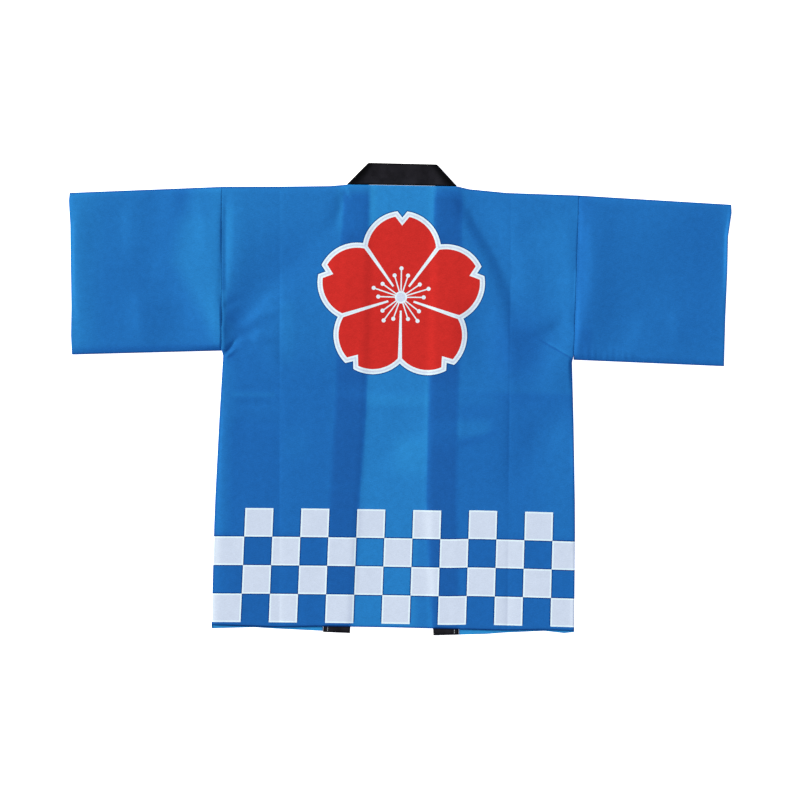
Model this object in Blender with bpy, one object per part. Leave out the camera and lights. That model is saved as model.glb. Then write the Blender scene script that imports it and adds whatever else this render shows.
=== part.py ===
"""Happi coat laid flat, its back upward: one width of blue cloth for the back, two fronts under it,
two sleeves that are flat open tubes, and one long black collar band.

The coat lies on the plane z = 0 with its collar toward +Y. Left and right are the wearer's, so the
left sleeve lies at -X. Every cut piece is a solid wall of cloth of its own, a seam's gap from the next.
"""

import math
from collections import namedtuple

import bpy

MM = 0.001

# Cloth and layers, in millimetres
WALL = 1.2
BAND_WALL = 1.6
SEAM = 0.3
LAYER_GAP = 0.3
EDGE_PUFF = 1.7
EDGE_ROUND = 14.0
GAP_SAG = 0.8
TURN_GAP = 0.5
BAND_MARGIN = 7.0

# Main sizes, in millimetres
HALF_SPAN = 596.5
ARMHOLE_X = 321.0
HALF_LENGTH = 424.2
SHOULDER_Y = 380.0
HEM_Y = -413.0
ARMHOLE_Y = 83.0
UNDERARM_Y = 73.0
NECK_Y = 384.6
BAND_TOP_Y = 358.0

# Numbers of faces
BODY_ROWS = 32
FRONT_ROWS = 18
FRONT_COLUMNS = 6
SLEEVE_SECTIONS = 14
SLEEVE_STEPS = 13
ARC_STEPS = 4
TURN_STEPS = 8
FAN_ROWS = 3
NECK_STATIONS = 8

Point = namedtuple("Point", "x y")
Cuff = namedtuple("Cuff", "up left right")
Guide = namedtuple("Guide", "name side top hem faces")
Fold = namedtuple("Fold", "name x0 y0 x1 y1 bend width height")
Swell = namedtuple("Swell", "name x y reach_x reach_y height")
Sleeve = namedtuple("Sleeve", "name side top_seam top_cuff bottom_seam bottom_cuff")

# The outlines as they lie, a row for each point where an edge turns
BODY_SIDE = (
    Point(x=-326.3, y=HEM_Y),
    Point(x=-324.8, y=-234.0),
    Point(x=-323.6, y=-180.0),
    Point(x=-318.8, y=-40.0),
    Point(x=-314.0, y=UNDERARM_Y),
    Point(x=-316.6, y=ARMHOLE_Y),
    Point(x=-ARMHOLE_X, y=SHOULDER_Y),
)
SHOULDER = (
    Point(x=-321.5, y=376.6),
    Point(x=-217.0, y=378.6),
    Point(x=-127.0, y=381.3),
    Point(x=-97.5, y=384.3),
    Point(x=102.5, y=384.3),
    Point(x=125.0, y=379.8),
    Point(x=191.0, y=374.5),
    Point(x=321.5, y=372.2),
)
BACK_HEM = (
    Point(x=-325.0, y=-412.2),
    Point(x=-270.0, y=-413.2),
    Point(x=-213.0, y=-414.0),
    Point(x=-125.0, y=-411.2),
    Point(x=0.0, y=-411.0),
    Point(x=92.0, y=-411.8),
    Point(x=200.0, y=-412.6),
    Point(x=272.0, y=-410.3),
    Point(x=325.0, y=-411.5),
)
FRONT_HEM = (
    Point(x=-325.0, y=-418.4),
    Point(x=-250.0, y=-415.1),
    Point(x=-213.0, y=-416.8),
    Point(x=-126.0, y=-419.6),
    Point(x=120.0, y=-422.0),
    Point(x=168.0, y=-420.0),
    Point(x=200.0, y=-417.0),
    Point(x=272.0, y=-412.6),
    Point(x=308.0, y=-416.0),
    Point(x=325.0, y=-414.0),
)

# Cuff lines: how far up the opening, and where the two cuffs lie there
CUFFS = (
    Cuff(up=0.0, left=-586.0, right=587.5),
    Cuff(up=0.12, left=-588.4, right=587.9),
    Cuff(up=0.3, left=-588.4, right=588.4),
    Cuff(up=0.58, left=-591.2, right=590.5),
    Cuff(up=0.8, left=-593.0, right=590.8),
    Cuff(up=0.95, left=-HALF_SPAN, right=HALF_SPAN),
    Cuff(up=1.0, left=-595.0, right=595.3),
)
SLEEVES = (
    Sleeve(name="sleeve_left", side=-1, top_seam=376.6, top_cuff=360.9, bottom_seam=81.5, bottom_cuff=69.8),
    Sleeve(name="sleeve_right", side=1, top_seam=372.2, top_cuff=360.4, bottom_seam=76.0, bottom_cuff=69.2),
)

# Collar band: its edges down each front, and the corners of the strip behind the neck
BAND_EDGES = {
    -1: {
        "inner": (Point(-56.0, BAND_TOP_Y), Point(-56.0, -16.0), Point(-65.0, -177.0), Point(-77.0, -422.6)),
        "outer": (Point(-102.0, BAND_TOP_Y), Point(-109.0, -17.0), Point(-116.0, -178.0), Point(-125.5, -421.4)),
    },
    1: {
        "inner": (Point(62.0, BAND_TOP_Y), Point(58.0, -36.0), Point(57.5, -175.0), Point(73.0, -HALF_LENGTH)),
        "outer": (Point(109.0, BAND_TOP_Y), Point(108.0, -35.0), Point(109.0, -174.0), Point(119.0, -422.0)),
    },
}
NECK_TOP = {-1: Point(-59.0, HALF_LENGTH), 1: Point(65.0, 423.4)}
NECK_LOW = {-1: Point(-97.0, NECK_Y), 1: Point(102.0, NECK_Y)}

# Lines down the body that its faces follow, from the wearer's left to the right, with the columns
# of faces up to each. X at the shoulder and at the hem counts from a side's edge where one is named.
GUIDES = (
    Guide(name="left edge", side=-1, top=0.0, hem=0.0, faces=0),
    Guide(name="left roll", side=-1, top=EDGE_ROUND, hem=EDGE_ROUND, faces=2),
    Guide(name="left crease", side=0, top=-217.0, hem=-204.0, faces=5),
    Guide(name="left band outer", side=0, top=-105.0, hem=-129.0, faces=5),
    Guide(name="left band inner", side=0, top=-52.0, hem=-73.0, faces=3),
    Guide(name="right band inner", side=0, top=58.0, hem=69.0, faces=5),
    Guide(name="right band outer", side=0, top=112.0, hem=122.0, faces=3),
    Guide(name="right crease", side=0, top=199.0, hem=206.0, faces=4),
    Guide(name="right roll", side=1, top=-EDGE_ROUND, hem=-EDGE_ROUND, faces=5),
    Guide(name="right edge", side=1, top=0.0, hem=0.0, faces=2),
)

# The largest folds, soft ridges or troughs along an arc, and the broad swells of the cloth
FOLDS = (
    Fold(name="left underarm upright", x0=-309, y0=90, x1=-290, y1=330, bend=-10, width=26, height=1.5),
    Fold(name="left underarm slanting", x0=-306, y0=86, x1=-190, y1=250, bend=8, width=34, height=1.5),
    Fold(name="left underarm level", x0=-304, y0=82, x1=-205, y1=148, bend=10, width=22, height=1.2),
    Fold(name="left underarm low", x0=-304, y0=62, x1=-190, y1=20, bend=4, width=30, height=0.8),
    Fold(name="left neck", x0=-98, y0=374, x1=-126, y1=310, bend=4, width=20, height=1.0),
    Fold(name="right neck trough", x0=112, y0=362, x1=208, y1=90, bend=24, width=30, height=-1.6),
    Fold(name="right underarm slanting", x0=306, y0=84, x1=212, y1=130, bend=-6, width=30, height=1.2),
    Fold(name="right underarm low", x0=304, y0=66, x1=238, y1=-30, bend=-8, width=34, height=1.0),
    Fold(name="right body swell line", x0=262, y0=330, x1=276, y1=130, bend=0, width=60, height=1.2),
    Fold(name="left sleeve by the seam", x0=-342, y0=350, x1=-340, y1=110, bend=6, width=60, height=1.4),
    Fold(name="right sleeve by the seam", x0=350, y0=350, x1=334, y1=92, bend=10, width=24, height=1.5),
    Fold(name="right sleeve low", x0=408, y0=92, x1=500, y1=150, bend=8, width=46, height=0.9),
    Fold(name="left pressed crease", x0=-217, y0=378, x1=-204, y1=-412, bend=0, width=20, height=-0.5),
    Fold(name="right pressed crease", x0=199, y0=374, x1=206, y1=-412, bend=0, width=20, height=-0.5),
    Fold(name="level pressed crease", x0=-316, y0=10, x1=316, y1=16, bend=0, width=36, height=-0.4),
)
SWELLS = (
    Swell(name="left sleeve", x=-480, y=230, reach_x=90, reach_y=110, height=0.5),
    Swell(name="right sleeve", x=490, y=250, reach_x=90, reach_y=110, height=0.5),
    Swell(name="left back", x=-200, y=-150, reach_x=110, reach_y=160, height=0.6),
    Swell(name="right back", x=210, y=-140, reach_x=110, reach_y=150, height=0.6),
    Swell(name="upper back", x=0, y=230, reach_x=130, reach_y=110, height=0.7),
)
RIDGE_LIMIT = 1.9
TROUGH_LIMIT = 1.2


def remove_objects():
    """Empty the scene."""
    for item in list(bpy.data.objects):
        bpy.data.objects.remove(item, do_unlink=True)


def cloth(name, colour, roughness):
    """A plain cloth material."""
    material = bpy.data.materials.new(name)
    material.use_nodes = True
    shader = material.node_tree.nodes["Principled BSDF"]
    shader.inputs["Base Color"].default_value = (*colour, 1.0)
    shader.inputs["Roughness"].default_value = roughness
    shader.inputs["Metallic"].default_value = 0.0
    return material


def lerp(start, end, part):
    return start + (end - start) * part


def lerp_point(start, end, part):
    return Point(lerp(start.x, end.x, part), lerp(start.y, end.y, part))


def between(rows, key, value, wanted):
    """Read one column of a table at a value of another, straight between its rows."""
    rows = sorted(rows, key=lambda row: getattr(row, key))
    for low, high in zip(rows, rows[1:]):
        low_key, high_key = getattr(low, key), getattr(high, key)
        if value <= high_key or high is rows[-1]:
            part = min(max((value - low_key) / (high_key - low_key), 0.0), 1.0)
            return lerp(getattr(low, wanted), getattr(high, wanted), part)
    return getattr(rows[-1], wanted)


def share(step, steps, roll):
    """Even steps from 0 to 1, but for a narrow one, a roll wide, at each end."""
    if step in (0, steps):
        return step / steps
    return lerp(roll, 1.0 - roll, (step - 1) / (steps - 2))


def side_x(side, y):
    """The body's left (-1) or right (1) edge at a height on the coat."""
    return -side * between(BODY_SIDE, "y", y, "x")


def band_x(side, edge, y):
    return between(BAND_EDGES[side][edge], "y", y, "x")


def raised(edge, x, y):
    """How far the upper layer rises, a given way in from its edge: a quarter round, then its relief."""
    part = min(max(edge / EDGE_ROUND, 0.0), 1.0)
    return EDGE_PUFF * math.sqrt(1.0 - (1.0 - part) ** 2) + relief(x, y) * part


def fold_height(fold, x, y):
    """A soft ridge or trough along a shallow arc. It rises soon after its start and fades slowly."""
    run_x, run_y = fold.x1 - fold.x0, fold.y1 - fold.y0
    length = math.hypot(run_x, run_y)
    along = ((x - fold.x0) * run_x + (y - fold.y0) * run_y) / length ** 2
    if not 0.0 < along < 1.0:
        return 0.0
    aside = ((x - fold.x0) * -run_y + (y - fold.y0) * run_x) / length
    aside -= fold.bend * 4.0 * along * (1.0 - along)
    fade = math.sin(math.pi * along ** 0.6) ** 0.7
    return fold.height * fade * math.exp(-(aside / (0.5 * fold.width)) ** 2)


def relief(x, y):
    """Folds and swells of the upper layer together, kept within what the layers allow."""
    height = sum(fold_height(fold, x, y) for fold in FOLDS)
    for swell in SWELLS:
        reach = ((x - swell.x) / swell.reach_x) ** 2 + ((y - swell.y) / swell.reach_y) ** 2
        height += swell.height * math.exp(-reach)
    return min(max(height, -TROUGH_LIMIT), RIDGE_LIMIT)


def solid(name, points, faces, material):
    """One closed piece of cloth from its points in millimetres."""
    mesh = bpy.data.meshes.new(name)
    mesh.from_pydata([(x * MM, y * MM, z * MM) for x, y, z in points], [], faces)
    mesh.materials.append(material)
    mesh.validate()
    mesh.shade_smooth()
    mesh.set_sharp_from_angle(angle=math.radians(40.0))
    piece = bpy.data.objects.new(name, mesh)
    bpy.context.collection.objects.link(piece)
    return piece


def slab(name, upper, lower, material):
    """Close the space between two equal grids of points, rows of columns."""
    rows, columns = len(upper), len(upper[0])
    points = [point for row in upper for point in row] + [point for row in lower for point in row]
    under = rows * columns
    faces = []
    for row in range(rows - 1):
        for column in range(columns - 1):
            corner = row * columns + column
            quad = (corner, corner + 1, corner + 1 + columns, corner + columns)
            faces.append(quad)
            faces.append(tuple(under + index for index in reversed(quad)))
    rim = list(range(columns))
    rim += [row * columns + columns - 1 for row in range(1, rows)]
    rim += [(rows - 1) * columns + column for column in range(columns - 2, -1, -1)]
    rim += [row * columns for row in range(rows - 2, 0, -1)]
    for here, onward in zip(rim, rim[1:] + rim[:1]):
        faces.append((onward, here, under + here, under + onward))
    return solid(name, points, faces, material)


def guide_x(guide, y):
    """X of a guide line at a height on the coat."""
    x = lerp(guide.hem, guide.top, (y - HEM_Y) / (SHOULDER_Y - HEM_Y))
    return x + (side_x(guide.side, y) if guide.side else 0.0)


def column_places(part):
    """X of every column of faces of the back, at a share of the way up."""
    crossings = [line_at(lambda y, line=guide: guide_x(line, y), BACK_HEM, part) for guide in GUIDES]
    places = crossings[:1]
    for guide, near, far in zip(GUIDES[1:], crossings, crossings[1:]):
        places += [lerp(near, far, step / guide.faces) for step in range(1, guide.faces + 1)]
    return places


def underside_of_back(x, y):
    """Height of the back panel's lower face: on the fronts, over the bands, and sagging between."""
    height = WALL + LAYER_GAP
    inner_left, inner_right = band_x(-1, "inner", y), band_x(1, "inner", y)
    outer_left, outer_right = band_x(-1, "outer", y), band_x(1, "outer", y)
    if inner_left + BAND_MARGIN < x < inner_right - BAND_MARGIN:
        height -= GAP_SAG
    elif outer_left - BAND_MARGIN < x < outer_right + BAND_MARGIN:
        height += TURN_GAP
    edge = min(x - side_x(-1, y), side_x(1, y) - x, y - between(BACK_HEM, "x", x, "y"))
    edge = min(edge, between(SHOULDER, "x", x, "y") - y)
    return height + raised(edge, x, y)


def level_at(hem, x, part):
    """Y at a share of the way up from a hem to the shoulder line."""
    return lerp(between(hem, "x", x, "y"), between(SHOULDER, "x", x, "y"), part)


def line_at(line, hem, part):
    """X where a line down the body crosses a row of faces, which isn't quite level."""
    y = lerp(HEM_Y, SHOULDER_Y, part)
    for _ in range(3):
        y = level_at(hem, line(y), part)
    return line(y)


def back_panel(material):
    """The back lies on the fronts and the bands as one wall of cloth."""
    upper, lower = [], []
    for row in range(BODY_ROWS + 1):
        part = share(row, BODY_ROWS, EDGE_ROUND / (SHOULDER_Y - HEM_Y))
        points = [(x, level_at(BACK_HEM, x, part)) for x in column_places(part)]
        heights = [underside_of_back(x, y) for x, y in points]
        upper.append([(x, y, height + WALL) for (x, y), height in zip(points, heights)])
        lower.append([(x, y, height) for (x, y), height in zip(points, heights)])
    return slab("back", upper, lower, material)


def front_parts(side):
    """A front's rows of faces, as shares of the way up: even to where the band starts to turn."""
    x = band_x(side, "outer", BAND_TOP_Y)
    hem, shoulder = between(FRONT_HEM, "x", x, "y"), between(SHOULDER, "x", x, "y")
    turn = (BAND_TOP_Y - hem) / (shoulder - hem)
    return [turn * row / (FRONT_ROWS - 1) for row in range(FRONT_ROWS)] + [1.0]


def front_panel(side, material):
    """A front lies flat on the floor from the body's side to the collar band, seam gaps left free."""
    upper, lower = [], []
    for part in front_parts(side):
        start = line_at(lambda y: side_x(side, y), FRONT_HEM, part)
        end = line_at(lambda y: front_inner_x(side, y), FRONT_HEM, part)
        if side > 0:
            start, end = end, start
        places = [lerp(start, end, step / FRONT_COLUMNS) for step in range(FRONT_COLUMNS + 1)]
        points = [(x, level_at(FRONT_HEM, x, part)) for x in places]
        upper.append([(x, y, WALL) for x, y in points])
        lower.append([(x, y, 0.0) for x, y in points])
    return slab("front_left" if side < 0 else "front_right", upper, lower, material)


def front_inner_x(side, y):
    """A front's inner edge, a seam's gap outside the band's outer edge."""
    edge = between(BAND_EDGES[side]["outer"] + (NECK_LOW[side],), "y", y, "x")
    return edge + side * SEAM


def sleeve(data, material):
    """A flat tube: outer and inner rings at each section, joined at the cuff and at the armhole."""
    outer, inner = [], []
    for section in range(SLEEVE_SECTIONS + 1):
        part = share(section, SLEEVE_SECTIONS, EDGE_ROUND / (HALF_SPAN - ARMHOLE_X))
        outer.append(sleeve_ring(data, part, 0.0))
        inner.append(sleeve_ring(data, part, WALL))
    count = len(outer[0])
    rings = outer + inner[::-1]
    points = [point for ring in rings for point in ring]
    faces = []
    for ring in range(len(rings)):
        start, onward = ring * count, (ring + 1) % len(rings) * count
        for index in range(count):
            after = (index + 1) % count
            quad = (start + index, start + after, onward + after, onward + index)
            faces.append(quad if data.side > 0 else quad[::-1])
    return solid(data.name, points, faces, material)


def sleeve_ring(data, part, inset):
    """One section: lower run on the floor, round the fold, upper run, round the seam below."""
    low_y = lerp(data.bottom_seam, data.bottom_cuff, part)
    top_y = lerp(data.top_seam, data.top_cuff, part)
    radius = WALL + 0.5 * LAYER_GAP
    ring = []
    low_end, top_end = low_y + radius, top_y - radius
    steps = [share(step, SLEEVE_STEPS, EDGE_ROUND / (top_end - low_end)) for step in range(SLEEVE_STEPS + 1)]
    for step in steps:
        y = lerp(low_end, top_end, step)
        ring.append((sleeve_x(data, part, y, low_y, top_y), y, inset))
    for arc in range(1, ARC_STEPS):
        angle = math.radians(-90.0 + 180.0 * arc / ARC_STEPS)
        y = top_end + (radius - inset) * math.cos(angle)
        ring.append((sleeve_x(data, part, y, low_y, top_y), y, radius + (radius - inset) * math.sin(angle)))
    for step in reversed(steps):
        y = lerp(low_end, top_end, step)
        x = sleeve_x(data, part, y, low_y, top_y)
        rise = sleeve_rise(data, part, x, y, low_end, top_end)
        ring.append((x, y, 2.0 * radius - inset + rise))
    for arc in range(1, ARC_STEPS):
        angle = math.radians(90.0 + 180.0 * arc / ARC_STEPS)
        y = low_end + (radius - inset) * math.cos(angle)
        ring.append((sleeve_x(data, part, y, low_y, top_y), y, radius + (radius - inset) * math.sin(angle)))
    return ring


def sleeve_x(data, part, y, low_y, top_y):
    """X at a section, between the armhole seam and the cuff line."""
    up = (y - low_y) / (top_y - low_y)
    seam = side_x(data.side, max(y, ARMHOLE_Y)) + data.side * SEAM
    cuff = between(CUFFS, "up", up, "left" if data.side < 0 else "right")
    return lerp(seam, cuff, part)


def sleeve_rise(data, part, x, y, low_end, top_end):
    """How far the sleeve's upper layer stands above the thickness of its pressed edges."""
    width = HALF_SPAN - ARMHOLE_X
    return raised(min(part * width, (1.0 - part) * width, y - low_end, top_end - y), x, y)


def collar_stations():
    """Cross lines of the band, from its left end to its right: two ends and two heights for each.

    Down the fronts the band lies on the floor. At the neck it turns over along a slant, in a tight
    U, and runs across behind the neck as the upper layer.
    """
    upper = (2.0 * BAND_WALL + TURN_GAP, BAND_WALL + TURN_GAP)
    neck = []
    for station in range(1, NECK_STATIONS):
        part = station / NECK_STATIONS
        top = lerp_point(NECK_TOP[-1], NECK_TOP[1], part)
        low = lerp_point(NECK_LOW[-1], NECK_LOW[1], part)
        neck.append((top, low, top, low, upper))
    return half_collar(-1) + neck + half_collar(1)[::-1]


def half_collar(side):
    """The band down one front, the fan of cross lines to the slant, and the turn itself."""
    lower = (0.0, BAND_WALL)
    stations = [(inner, outer, inner, outer, lower) for inner, outer in band_lines(side)]
    last_inner, last_outer = stations[-1][:2]
    inside = 0.5 * TURN_GAP
    outside = BAND_WALL + inside
    top, low = NECK_TOP[side], NECK_LOW[side]
    slant = (top.y - low.y) / math.hypot(top.x - low.x, top.y - low.y)
    turn = side * outside / slant
    for row in range(1, FAN_ROWS):
        inner = lerp_point(last_inner, Point(top.x - turn, top.y), row / FAN_ROWS)
        outer = lerp_point(last_outer, Point(low.x - turn, low.y), row / FAN_ROWS)
        stations.append((inner, outer, inner, outer, lower))
    for arc in range(TURN_STEPS + 1):
        angle = math.radians(-90.0 + 180.0 * arc / TURN_STEPS)
        out_shift = -side * (outside - outside * math.cos(angle)) / slant
        in_shift = -side * (outside - inside * math.cos(angle)) / slant
        heights = (outside + outside * math.sin(angle), outside + inside * math.sin(angle))
        stations.append((Point(top.x + out_shift, top.y), Point(low.x + out_shift, low.y),
                         Point(top.x + in_shift, top.y), Point(low.x + in_shift, low.y), heights))
    return stations


def band_lines(side):
    """The band's inner and outer edge points: its end below the hem, then the rows of its front."""
    lines = [(BAND_EDGES[side]["inner"][-1], BAND_EDGES[side]["outer"][-1])]
    for part in front_parts(side)[1:-1]:
        x = line_at(lambda y: band_x(side, "outer", y), FRONT_HEM, part)
        y = level_at(FRONT_HEM, x, part)
        lines.append((Point(band_x(side, "inner", y), y), Point(x, y)))
    return lines


def collar(material):
    """Sweep the band's four corners through its cross lines."""
    points, faces = [], []
    stations = collar_stations()
    for out_inner, out_outer, in_inner, in_outer, (out_z, in_z) in stations:
        points.append((out_inner.x, out_inner.y, out_z))
        points.append((out_outer.x, out_outer.y, out_z))
        points.append((in_outer.x, in_outer.y, in_z))
        points.append((in_inner.x, in_inner.y, in_z))
    for station in range(len(stations) - 1):
        start = station * 4
        for corner in range(4):
            after = (corner + 1) % 4
            faces.append((start + corner, start + after, start + 4 + after, start + 4 + corner))
    last = (len(stations) - 1) * 4
    faces.append((3, 2, 1, 0))
    faces.append((last, last + 1, last + 2, last + 3))
    return solid("collar", points, faces, material)


def build():
    remove_objects()
    blue = cloth("blue cloth", (0.017, 0.156, 0.474), 0.85)
    black = cloth("black cloth", (0.014, 0.014, 0.018), 0.8)
    back_panel(blue)
    front_panel(-1, blue)
    front_panel(1, blue)
    for data in SLEEVES:
        sleeve(data, blue)
    collar(black)


build()
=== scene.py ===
# %% [markdown]
# # A happi coat laid flat
#
# The coat is thin blue cloth, spread on a table with its back upward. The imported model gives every
# piece its place, so the script loads it first and builds a thin shell of cloth on each of its solids.
# All shapes below are in millimetres until a mesh is made, because a tailor thinks in millimetres.

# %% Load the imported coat
import math
from collections import namedtuple

import bpy
import numpy as np
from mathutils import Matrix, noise


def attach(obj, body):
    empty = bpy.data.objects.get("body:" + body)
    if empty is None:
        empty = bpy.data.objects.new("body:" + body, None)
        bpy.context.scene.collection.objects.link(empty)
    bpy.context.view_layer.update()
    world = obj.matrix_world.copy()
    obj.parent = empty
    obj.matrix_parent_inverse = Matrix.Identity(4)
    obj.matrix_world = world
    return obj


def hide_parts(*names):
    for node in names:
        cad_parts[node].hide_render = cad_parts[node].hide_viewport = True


MM = 0.001
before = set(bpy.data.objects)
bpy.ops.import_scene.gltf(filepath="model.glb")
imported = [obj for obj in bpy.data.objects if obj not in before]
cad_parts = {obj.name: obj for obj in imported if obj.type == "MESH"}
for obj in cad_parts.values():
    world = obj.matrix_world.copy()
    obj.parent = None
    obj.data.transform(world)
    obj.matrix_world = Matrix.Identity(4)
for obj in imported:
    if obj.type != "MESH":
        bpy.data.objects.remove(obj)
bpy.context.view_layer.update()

# %% [markdown]
# ## The camera
#
# The photograph looks straight down at the coat, which lies turned by one degree in it. A long lens
# from high above keeps the outline free of perspective. The picture is 800 pixels wide and covers
# 1.44 m, so each pixel is 1.8 mm of cloth.

# %% Place the camera
VIEW_WIDTH = 1.4385
LENS = 90.0
SENSOR = 36.0
VIEW_CENTRE = (5.7 * MM, -1.6 * MM)
COAT_TURN = math.radians(1.0)
CLOTH_LEVEL = 4.0 * MM

camera_data = bpy.data.cameras.new("camera")
camera_data.lens = LENS
camera_data.sensor_width = SENSOR
camera = bpy.data.objects.new("camera", camera_data)
camera.location = (*VIEW_CENTRE, CLOTH_LEVEL + VIEW_WIDTH * LENS / SENSOR)
camera.rotation_euler = (0.0, 0.0, COAT_TURN)
bpy.context.scene.collection.objects.link(camera)
bpy.context.scene.camera = camera
print("camera height in m:", round(camera.location.z, 3))

# %% [markdown]
# ## Shader nodes by name
#
# A procedural material is a calculation. A node's output is wrapped here as a wire, and arithmetic on
# wires adds Math nodes, so that a mask reads like the sum that it is.

# %% Helpers for node trees


class Wire:
    """A node's output, which can be reckoned with."""

    def __init__(self, tree, socket):
        self.tree = tree
        self.socket = socket

    def math(self, operation, *values):
        inputs = dict(enumerate((self, *values)))
        return add_node(self.tree, "ShaderNodeMath", inputs, operation=operation)

    def __add__(self, other):
        return self.math("ADD", other)

    def __sub__(self, other):
        return self.math("SUBTRACT", other)

    def __mul__(self, other):
        return self.math("MULTIPLY", other)

    def __truediv__(self, other):
        return self.math("DIVIDE", other)


def feed(node, inputs):
    """Link a wire to each named input, or set the input to a plain value."""
    for name, value in inputs.items():
        if isinstance(value, Wire):
            value.tree.links.new(value.socket, node.inputs[name])
        else:
            node.inputs[name].default_value = value


def place_node(tree, kind, inputs, **settings):
    node = tree.nodes.new(kind)
    for name, value in settings.items():
        setattr(node, name, value)
    feed(node, inputs)
    return node


def add_node(tree, kind, inputs, output=0, **settings):
    """Place a node and hand back one of its outputs."""
    return Wire(tree, place_node(tree, kind, inputs, **settings).outputs[output])


def mix_colours(share, first, second):
    inputs = {"Factor": share, "A": first, "B": second}
    return add_node(share.tree, "ShaderNodeMix", inputs, "Result", data_type="RGBA")


def noise_value(vector, scale, detail, roughness):
    inputs = {"Vector": vector, "Scale": scale, "Detail": detail, "Roughness": roughness}
    return add_node(vector.tree, "ShaderNodeTexNoise", inputs)


def cut_edge(distance, softness=0.5 * MM):
    """1 inside a shape, 0 outside it, from a distance that is negative inside."""
    return add_node(distance.tree, "ShaderNodeClamp", {"Value": distance / -softness + 0.5})


def flat_place(tree):
    """Where a point lies on the flat cloth."""
    return add_node(tree, "ShaderNodeUVMap", {}, "UV", uv_map="cloth")


def flat_x_and_y(tree):
    place = place_node(tree, "ShaderNodeSeparateXYZ", {0: flat_place(tree)})
    return Wire(tree, place.outputs["X"]), Wire(tree, place.outputs["Y"])


def new_group(name, outputs, inputs):
    """An empty node group with its named outputs and inputs."""
    tree = bpy.data.node_groups.new(name, "ShaderNodeTree")
    for label in outputs:
        tree.interface.new_socket(label, in_out="OUTPUT", socket_type="NodeSocketFloat")
    for label, value in inputs.items():
        socket = tree.interface.new_socket(label, in_out="INPUT", socket_type="NodeSocketFloat")
        socket.default_value = value
    return tree


def use_group(tree, group, inputs):
    """Place a node group and hand back its outputs by name."""
    node = place_node(tree, "ShaderNodeGroup", {}, node_tree=group)
    feed(node, inputs)
    return {socket.name: Wire(tree, socket) for socket in node.outputs}


def start_material(name, inputs):
    material = bpy.data.materials.new(name)
    material.use_nodes = True
    shader = material.node_tree.nodes["Principled BSDF"]
    feed(shader, inputs)
    return material, shader


# %% [markdown]
# ## Floor and light
#
# The light comes in low from the left, as soft as a large window's, so every ridge is bright on its
# left flank and dark on its right. Cooler light from all round fills the shadows. The floor is white
# and luminous, like a light table, so the coat's shadow hardly darkens it.

# %% Make the floor and the lights
FLOOR_SIZE = 12.0
FLOOR_DROP = 0.2 * MM
SUN_STRENGTH = 6.6
SUN_ELEVATION = math.radians(18.0)
SUN_BEARING = math.radians(163.0)
SUN_SOFTNESS = math.radians(14.0)
SUN_COLOUR = (1.04, 1.0, 0.80)
FILL_STRENGTH = 0.47
FILL_COLOUR = (0.95, 1.0, 1.28)
PAPER = {
    "Base Color": (0.9, 0.9, 0.9, 1.0),
    "Roughness": 0.9,
    "Specular IOR Level": 0.0,
    "Emission Color": (1.0, 1.0, 1.0, 1.0),
    "Emission Strength": 1.0,
}


def make_floor():
    bpy.ops.object.select_all(action="DESELECT")
    bpy.ops.mesh.primitive_plane_add(size=FLOOR_SIZE, location=(0.0, 0.0, -FLOOR_DROP))
    floor = bpy.context.object
    floor.name = "floor"
    floor.data.materials.append(start_material("floor_paper", PAPER)[0])


def make_lights():
    sun_data = bpy.data.lights.new("window_light", "SUN")
    sun_data.energy = SUN_STRENGTH
    sun_data.angle = SUN_SOFTNESS
    sun_data.color = SUN_COLOUR
    sun = bpy.data.objects.new("window_light", sun_data)
    sun.rotation_euler = (0.0, math.pi / 2 - SUN_ELEVATION, SUN_BEARING)
    bpy.context.scene.collection.objects.link(sun)
    world = bpy.data.worlds.new("white_room")
    world.use_nodes = True
    feed(world.node_tree.nodes["Background"], {"Color": (*FILL_COLOUR, 1.0), "Strength": FILL_STRENGTH})
    bpy.context.scene.world = world
    bpy.context.scene.view_settings.view_transform = "Standard"
    sun_share = SUN_STRENGTH * math.sin(SUN_ELEVATION) / math.pi
    levels = [sun_share * sun_part + FILL_STRENGTH * part for sun_part, part in zip(SUN_COLOUR, FILL_COLOUR)]
    print("light on level cloth:", [round(level, 3) for level in levels])
    return levels


make_floor()
LIGHT_LEVELS = make_lights()


def srgb(red, green, blue):
    """A colour as a picture shows it, 0 to 255, turned into the cloth's own linear colour."""
    linear = []
    for value, level in zip((red, green, blue), LIGHT_LEVELS):
        part = value / 255.0
        part = part / 12.92 if part <= 0.04045 else ((part + 0.055) / 1.055) ** 2.4
        linear.append(part / level)
    return (*linear, 1.0)


# %% [markdown]
# ## The cut of the coat
#
# These tables are the outlines of the pieces as they lie, a point for each place where an edge turns.
# They repeat the model's own sizes, so that each shell sits on its solid. Left and right are the
# wearer's, and the coat is face down, so the left sleeve lies on the left of the picture.

# %% Tables of the outlines
WALL = 1.2
BAND_WALL = 1.6
CLOTH = 0.5
SEAM = 0.3
EDGE_ROUND = 14.0
EDGE_PUFF = 1.7
FOLD_RADIUS = 1.35
GAP_SAG = 0.8
TURN_GAP = 0.5
HALF_SPAN = 596.5
ARMHOLE_X = 321.0
HALF_LENGTH = 424.2
SHOULDER_Y = 380.0
HEM_Y = -413.0
ARMHOLE_Y = 83.0
UNDERARM_Y = 73.0
NECK_Y = 384.6
BAND_TOP_Y = 358.0

Point = namedtuple("Point", "x y")
Cuff = namedtuple("Cuff", "up left right")
Sleeve = namedtuple("Sleeve", "name side top_seam top_cuff bottom_seam bottom_cuff")
Span = namedtuple("Span", "end step")


def outline(*places):
    """A table of points from pairs of X and Y."""
    return tuple(Point(*place) for place in places)


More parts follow.
